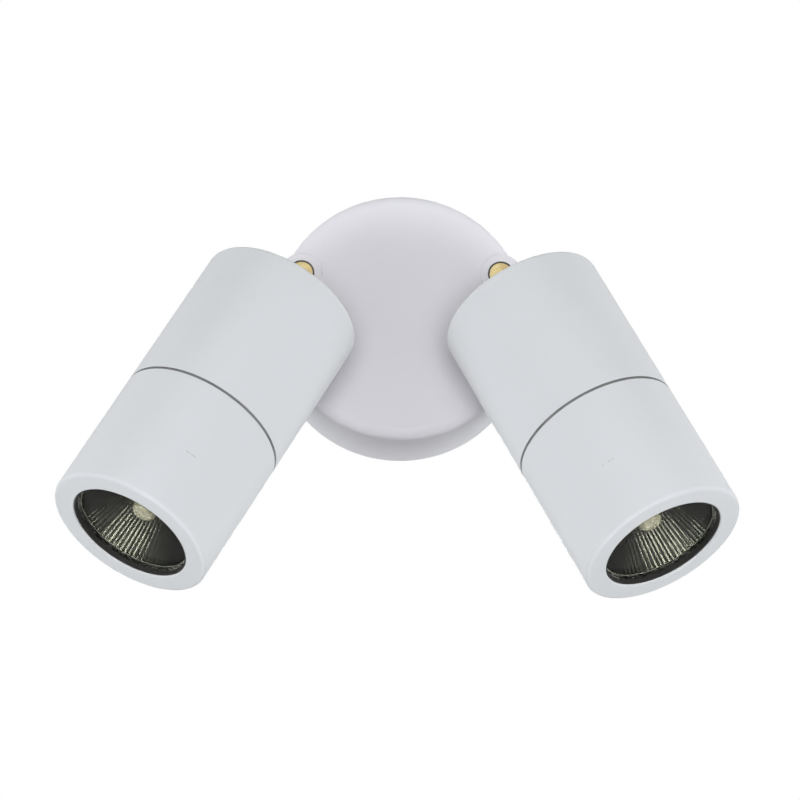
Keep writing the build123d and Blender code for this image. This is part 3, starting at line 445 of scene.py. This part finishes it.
def make_piece(name, corners, faces, place):
    """A smooth mesh from points in a head's own frame."""
    mesh = bpy.data.meshes.new(name)
    mesh.from_pydata([place @ Vector(corner) for corner in corners], [], faces)
    mesh.polygons.foreach_set("use_smooth", [True] * len(mesh.polygons))
    piece = bpy.data.objects.new(name, mesh)
    bpy.context.scene.collection.objects.link(piece)
    return piece


def dress(piece, body, finish):
    """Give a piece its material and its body."""
    piece.data.materials.append(finish.material)
    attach(piece, body)


def round_angles(columns):
    return [2 * math.pi * column / columns for column in range(columns)]


def plain_row(radius, height, columns):
    return [(radius * math.cos(turn), radius * math.sin(turn), height)
            for turn in round_angles(columns)]


def turn_rows(rows, closed):
    """Faces between rows of points: the first and last rows join too, or each ends in a cap."""
    columns = len(rows[0])
    corners = [corner for row in rows for corner in row]
    faces = []
    for row in range(len(rows) if closed else len(rows) - 1):
        here, above = row * columns, ((row + 1) % len(rows)) * columns
        for column in range(columns):
            after = (column + 1) % columns
            faces.append((here + column, here + after, above + after, above + column))
    if not closed:
        faces.append(tuple(range(columns - 1, -1, -1)))
        faces.append(tuple(range((len(rows) - 1) * columns, len(rows) * columns)))
    return corners, faces


def mirror_rows(chance):
    """Rows of the mirror: up its throat and fluted bowl, round the rim and down the bell."""
    columns = FLUTES * FLUTE_COLUMNS
    lean = [chance.uniform(-FLUTE_LEAN, FLUTE_LEAN) for _ in range(FLUTES)]
    depth = [chance.uniform(1 - FLUTE_UNEVEN, 1 + FLUTE_UNEVEN) for _ in range(FLUTES)]
    rows = [plain_row(MIRROR_THROAT_RADIUS, MIRROR_NECK_Z, columns)]
    for step in range(BOWL_STEPS + 1):
        share = step / BOWL_STEPS
        height = MIRROR_FLOOR_Z + (MIRROR_LIP_Z - MIRROR_FLOOR_Z) * share
        square = MIRROR_THROAT_RADIUS ** 2
        square += (MIRROR_LIP_RADIUS ** 2 - MIRROR_THROAT_RADIUS ** 2) * share
        rows.append(fluted_row(math.sqrt(square), height, share, lean, depth))
    rows.append(plain_row(MIRROR_LIP_RADIUS + MIRROR_LIP_WIDTH, MIRROR_LIP_Z, columns))
    rows.append(plain_row(GLASS_SEAT_RADIUS, MIRROR_LIP_Z, columns))
    rows.append(plain_row(GLASS_SEAT_RADIUS, 0, columns))
    rows.append(plain_row(MIRROR_RIM_RADIUS, 0, columns))
    start, pull = Vector((MIRROR_RIM_RADIUS, -MIRROR_RIM_HEIGHT)), Vector(MIRROR_BELL_POINT)
    end = Vector((MIRROR_NECK_RADIUS, MIRROR_NECK_Z))
    for step in range(BELL_STEPS + 1):
        share = step / BELL_STEPS
        spot = start * (1 - share) ** 2 + pull * 2 * share * (1 - share) + end * share ** 2
        rows.append(plain_row(spot.x, spot.y, columns))
    return rows


def fluted_row(radius, height, share, lean, depth):
    """One row of the bowl: each flute is a shallow channel between ridges that point inwards."""
    deep = FLUTE_DEPTH_THROAT + (FLUTE_DEPTH_RIM - FLUTE_DEPTH_THROAT) * share
    row = []
    for flute in range(FLUTES):
        for column in range(FLUTE_COLUMNS):
            across = 2 * column / FLUTE_COLUMNS - 1
            bend = lean[flute] * (1 - across ** 2) * share
            turn = 2 * math.pi * (flute + (across + 1) / 2 + bend) / FLUTES
            here = radius - deep * (across ** 2 * depth[flute] if column else 1.0)
            row.append((here * math.cos(turn), here * math.sin(turn), height))
    return row


def make_mirror(side, place, mirror, body, edge_glass_and_highlight):
    """The lamp's fluted glass cup: mirrored in the bowl with a painted dark reflection, ground on its lip with a
    partly painted highlight, and near-black outside with partly painted shade.
    """
    corners, faces = turn_rows(mirror_rows(random.Random(MIRROR_SEED)), closed=True)
    piece = make_piece(f"{side}_mirror", corners, faces, place)
    columns = FLUTES * FLUTE_COLUMNS
    lip = BOWL_STEPS + 1
    for edge in piece.data.edges:
        low, high = min(edge.vertices), max(edge.vertices)
        ridge = low % columns == high % columns and low % FLUTE_COLUMNS == 0
        rim = low // columns == high // columns and lip <= low // columns <= lip + RIM_STEPS
        edge.use_edge_sharp = (ridge and low // columns < lip) or rim
    dress(piece, f"{side}_head", mirror)
    piece.data.materials.append(body.material)
    piece.data.materials.append(edge_glass_and_highlight.material)
    in_bowl, outside, on_lip = range(3)
    for face in piece.data.polygons:
        rows = [index // columns for index in face.vertices]
        if 1 <= min(rows) and max(rows) <= lip + 1:
            face.material_index = on_lip if min(rows) == lip else in_bowl
        else:
            face.material_index = outside
    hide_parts(f"{side}_lamp_reflector")


def dome_rows(radius, low, shoulder, tip):
    """Rows of a closed tube with a round shoulder and a small drawn tip."""
    rows = [plain_row(radius * FOOT_SHARE, low, CAPSULE_COLUMNS),
            plain_row(radius, low + FOOT_HEIGHT, CAPSULE_COLUMNS)]
    for step in range(SHOULDER_STEPS):
        turn = math.pi / 2 * step / SHOULDER_STEPS
        height = shoulder + (tip - shoulder) * SHOULDER_SHARE * math.sin(turn)
        reach = CAPSULE_TIP_RADIUS + (radius - CAPSULE_TIP_RADIUS) * math.cos(turn)
        rows.append(plain_row(reach, height, CAPSULE_COLUMNS))
    for step in range(1, TIP_STEPS):
        turn = math.pi / 2 * step / TIP_STEPS
        share = SHOULDER_SHARE + (1 - SHOULDER_SHARE) * math.sin(turn)
        height = shoulder + (tip - shoulder) * share
        rows.append(plain_row(CAPSULE_TIP_RADIUS * math.cos(turn), height, CAPSULE_COLUMNS))
    return rows


def make_capsule(side, place, finish):
    """The burner's quartz tube: a thick-walled tube with a drawn tip."""
    outside = dome_rows(CAPSULE_RADIUS, CAPSULE_LOW_Z, CAPSULE_SHOULDER_Z, CAPSULE_TIP_Z)
    bore = CAPSULE_RADIUS - CAPSULE_WALL
    inside = dome_rows(bore, CAVITY_LOW_Z, CAVITY_SHOULDER_Z, CAVITY_HIGH_Z)
    corners, faces = turn_rows(outside, closed=False)
    hollow_corners, hollow_faces = turn_rows(inside, closed=False)
    faces += [tuple(len(corners) + index for index in reversed(face)) for face in hollow_faces]
    piece = make_piece(f"{side}_quartz_capsule", corners + hollow_corners, faces, place)
    dress(piece, f"{side}_head", finish)
    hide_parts(f"{side}_lamp_capsule")


def wire_rows(path, radius):
    """Rows round a path of points, for a wire."""
    rows = []
    for index, spot in enumerate(path):
        ahead = path[min(index + 1, len(path) - 1)] - path[max(index - 1, 0)]
        beside = ahead.cross(Vector((0.3, 0.2, 1))).normalized()
        above = ahead.cross(beside).normalized()
        rows.append([spot + beside * radius * math.cos(turn) + above * radius * math.sin(turn)
                     for turn in round_angles(WIRE_COLUMNS)])
    return rows


def make_filament(side, place, finish):
    """The coiled filament between its two straight lead-in wires."""
    path = [Vector((COIL_RADIUS, 0, WIRE_END_Z)), Vector((COIL_RADIUS, 0, COIL_START_Z))]
    steps = COIL_TURNS * COIL_TURN_STEPS
    for step in range(steps + 1):
        turn = 2 * math.pi * COIL_TURNS * step / steps
        height = COIL_LOW_Z + (COIL_HIGH_Z - COIL_LOW_Z) * step / steps
        path.append(Vector((COIL_RADIUS * math.cos(turn), COIL_RADIUS * math.sin(turn), height)))
    path += [Vector((radius, 0, height)) for radius, height in (RETURN_HIGH, RETURN_LOW)]
    corners, faces = turn_rows(wire_rows(path, COIL_WIRE), closed=False)
    piece = make_piece(f"{side}_filament", corners, faces, place)
    dress(piece, f"{side}_head", finish)


def make_cement(side, place, finish):
    """The cement that holds the capsule in the mirror's throat, a little uneven on top."""
    chance = random.Random(CEMENT_SEED)
    inner = CAPSULE_RADIUS + CEMENT_GAP
    outer = MIRROR_THROAT_RADIUS - FLUTE_DEPTH_THROAT - CEMENT_GAP
    rows = [plain_row(radius, CAPSULE_LOW_Z, CAPSULE_COLUMNS) for radius in (inner, outer)]
    for radius in (outer, (outer * 2 + inner) / 3, (outer + inner * 2) / 3, inner):
        rows.append([(x, y, z + chance.uniform(-CEMENT_UNEVEN, CEMENT_UNEVEN))
                     for x, y, z in plain_row(radius, CEMENT_HIGH_Z, CAPSULE_COLUMNS)])
    corners, faces = turn_rows(rows, closed=True)
    piece = make_piece(f"{side}_capsule_cement", corners, faces, place)
    dress(piece, f"{side}_head", finish)


def make_seal(side, place, finish):
    """The rubber ring in the head's joint, squeezed so that it bulges nearly flush."""
    profile = [(radius, SEAL_Z - half) for radius, half in SEAL_PROFILE]
    profile += [(radius, SEAL_Z + half) for radius, half in reversed(SEAL_PROFILE)]
    rows = [plain_row(radius, height, SEAL_COLUMNS) for radius, height in profile]
    corners, faces = turn_rows(rows, closed=True)
    piece = make_piece(f"{side}_joint_seal", corners, faces, place)
    dress(piece, f"{side}_head", finish)
    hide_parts(f"{side}_joint_ring")


def make_lead_cores(finishes):
    """The canopy's lead cores: the node's own solids, each in the colour of its pole."""
    mesh = frame["nodes"]["canopy_lead_cores"].data.copy()
    piece = bpy.data.objects.new("coloured_lead_cores", mesh)
    bpy.context.scene.collection.objects.link(piece)
    mesh.materials.clear()
    for finish in finishes:
        mesh.materials.append(finish.material)
    islands = separate_islands(mesh)
    across = {island: sum(mesh.vertices[index].co.x for index in members) / len(members)
              for island, members in islands.items()}
    order = sorted(across, key=across.get)
    pole = {island: rank % len(finishes) for rank, island in enumerate(order)}
    owner = {index: island for island, members in islands.items() for index in members}
    for face in mesh.polygons:
        face.material_index = pole[owner[face.vertices[0]]]
    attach(piece, "root")
    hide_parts("canopy_lead_cores")


def separate_islands(mesh):
    """Vertex indices of each separate solid; corners that lie in one place count as joined."""
    parent = list(range(len(mesh.vertices)))

    def root(index):
        while parent[index] != index:
            parent[index] = parent[parent[index]]
            index = parent[index]
        return index

    seen = {}
    for vertex in mesh.vertices:
        key = tuple(round(part * PLACES_PER_METRE) for part in vertex.co)
        parent[root(vertex.index)] = root(seen.setdefault(key, vertex.index))
    for edge in mesh.edges:
        parent[root(edge.vertices[0])] = root(edge.vertices[1])
    islands = {}
    for vertex in mesh.vertices:
        islands.setdefault(root(vertex.index), []).append(vertex.index)
    return islands


# Dressing the CAD nodes.


def paint_node(node, finish):
    for slot in frame["nodes"][node].material_slots:
        slot.material = finish.material


def dress_nodes():
    """Give each CAD node that stays its finish, by the record's slot; the heads come later."""
    finishes = {
        "zinc_steel": plated_steel(),
        "black_rubber": matt_rubber("black_rubber", (0.022, 0.022, 0.020, 1), 0.78),
        "joint_rubber": matt_rubber("joint_rubber", (0.17, 0.17, 0.17, 1), 0.7),
        "black_nylon": matt_rubber("black_nylon", (0.035, 0.035, 0.035, 1), 0.5, 0.3 * MM),
        "terminal_nylon": moulded_nylon(),
        "lead_sleeve": braided_sleeve(),
        "lamp_ceramic": fired_ceramic(),
        "lamp_glass": clear_glass("front_glass", (0.97, 0.98, 0.95, 1), 0.03, bend=1.08),
        "brass": turned_brass("left"),
    }
    right_brass = turned_brass("right")
    for part in frame["record"]["subparts"]:
        node, slot = part["node"], part["material_slot"]
        if slot == "brass" and node.startswith("right"):
            paint_node(node, right_brass)
        elif slot in finishes:
            paint_node(node, finishes[slot])
    # The canopy's paint is lighter than the heads': painted light against the heads' shade.
    paint_node("canopy", powder_coat("canopy_paint_painted_light", CANOPY_WHITE_PAINTED_LIGHT))
    return finishes


def scratch_ends(side, place):
    """Both ends of the scratch on a head's barrel, in the row's frame."""
    turns = [math.radians(angle) for angle in SCRATCH_ANGLES[side]]
    return [place @ Vector((HEAD_RADIUS * math.cos(turn), HEAD_RADIUS * math.sin(turn), SCRATCH_Z))
            for turn in turns]


def dress_heads(finishes):
    """Paint both heads and put the modelled pieces in them."""
    # The mirror and the lamp's body are dark as painted reflection and shade; the paler lip strip is partly a
    # painted highlight.
    mirror, body, edge_glass_and_highlight, wire = dark_mirror_painted_reflection(), dark_glass_painted_shade(), ground_edge_and_painted_highlight(), tungsten()
    quartz = clear_glass("quartz", (0.80, 0.77, 0.60, 1), 0.32, bend=1.3, clear=0.7)
    for side in SIDES:
        place = head_place(side)
        paint = powder_coat(f"{side}_head_paint", HEAD_WHITE, scratch_ends(side, place))
        paint_node(f"{side}_rear_body", paint)
        paint_node(f"{side}_front_barrel", paint)
        make_mirror(side, place, mirror, body, edge_glass_and_highlight)
        make_capsule(side, place, quartz)
        make_filament(side, place, wire)
        make_cement(side, place, finishes["lamp_ceramic"])
        make_seal(side, place, finishes["joint_rubber"])


# Stage: camera, world, floor and lamps.


def add_camera():
    data = bpy.data.cameras.new("camera")
    data.lens = CAMERA_LENS
    data.sensor_width = CAMERA_SENSOR
    data.clip_end = CAMERA_FAR
    camera = bpy.data.objects.new("camera", data)
    camera.rotation_euler = (math.pi / 2 + CAMERA_RISE, 0, CAMERA_TURN)
    back = camera.rotation_euler.to_matrix() @ Vector((0, 0, CAMERA_DISTANCE))
    camera.location = CAMERA_TARGET + back
    bpy.context.scene.collection.objects.link(camera)
    bpy.context.scene.camera = camera


def add_world():
    """A white background, and soft light that is even from below and weaker from above."""
    world = bpy.data.worlds.new("studio")
    bpy.context.scene.world = world
    world.use_nodes = True
    nodes = Nodes(world.node_tree)
    nodes.tree.nodes.clear()
    direction = nodes.node("ShaderNodeTexCoord").outputs["Generated"]
    upward = nodes.node("ShaderNodeSeparateXYZ", {0: direction}).outputs["Z"]
    level = nodes.remap(upward, *WORLD_FADE, WORLD_LIGHT, WORLD_TOP_LIGHT)
    light = nodes.node("ShaderNodeBackground", {"Color": WORLD_COLOUR, "Strength": level})
    white = nodes.node("ShaderNodeBackground", {"Color": WHITE})
    shares = {0: nodes.seen_directly(), 1: light.outputs[0], 2: white.outputs[0]}
    mixed = nodes.node("ShaderNodeMixShader", shares)
    nodes.node("ShaderNodeOutputWorld", {"Surface": mixed.outputs[0]})


def add_floor():
    """A pale floor that takes the light's shadow and looks white itself."""
    mesh = bpy.data.meshes.new("floor")
    half = FLOOR_SIZE / 2
    outline = ((-half, -half), (half, -half), (half, half), (-half, half))
    mesh.from_pydata([(x, y, FLOOR_Z) for x, y in outline], [], [(0, 1, 2, 3)])
    floor = bpy.data.objects.new("floor", mesh)
    bpy.context.scene.collection.objects.link(floor)
    finish = Finish("pale_floor", FLOOR_GREY, 0.9)
    finish.vary_colour(0.01, 0.4)
    finish.set("Emission Color", WHITE)
    finish.set("Emission Strength", finish.math("MULTIPLY", finish.seen_directly(), FLOOR_GLOW))
    mesh.materials.append(finish.material)


def add_lamp(name, place, target, size, watts, colour=(1, 1, 1), mirrored=True):
    """A round lamp that the camera doesn't see; a mirrored one shows in glossy surfaces."""
    data = bpy.data.lights.new(name, "AREA")
    data.shape = "DISK"
    data.size = size
    data.energy = watts
    data.color = colour
    lamp = bpy.data.objects.new(name, data)
    lamp.location = place
    lamp.rotation_euler = (Vector(target) - Vector(place)).to_track_quat("-Z", "Y").to_euler()
    lamp.visible_camera = False
    lamp.visible_glossy = mirrored
    bpy.context.scene.collection.objects.link(lamp)


def add_lamps():
    add_lamp("front_lamp", (0, -1.6, -0.3), LIGHT_AIM, size=0.8, watts=8.0)
    add_lamp("middle_lamp", (0, -0.7, -0.12), LIGHT_AIM, size=0.25, watts=0.85, mirrored=False)
    add_lamp("back_lamp", (0, 1.7, 0.5), (0, 0, 0), size=0.6, watts=22.0)
    for side in (-1, 1):
        add_lamp("side_lamp", (0.85 * side, -0.6, -0.42), (0.08 * side, -0.08, -0.06),
                 size=0.5, watts=5.4, colour=SIDE_LIGHT, mirrored=False)


bpy.context.scene.view_settings.view_transform = "Standard"
node_finishes = dress_nodes()
dress_heads(node_finishes)
make_lead_cores([core_insulation("brown_core", (0.16, 0.065, 0.03, 1)),
                 core_insulation("green_core", (0.10, 0.30, 0.06, 1)),
                 core_insulation("blue_core", (0.03, 0.12, 0.42, 1))])
add_camera()
add_world()
add_floor()
add_lamps()
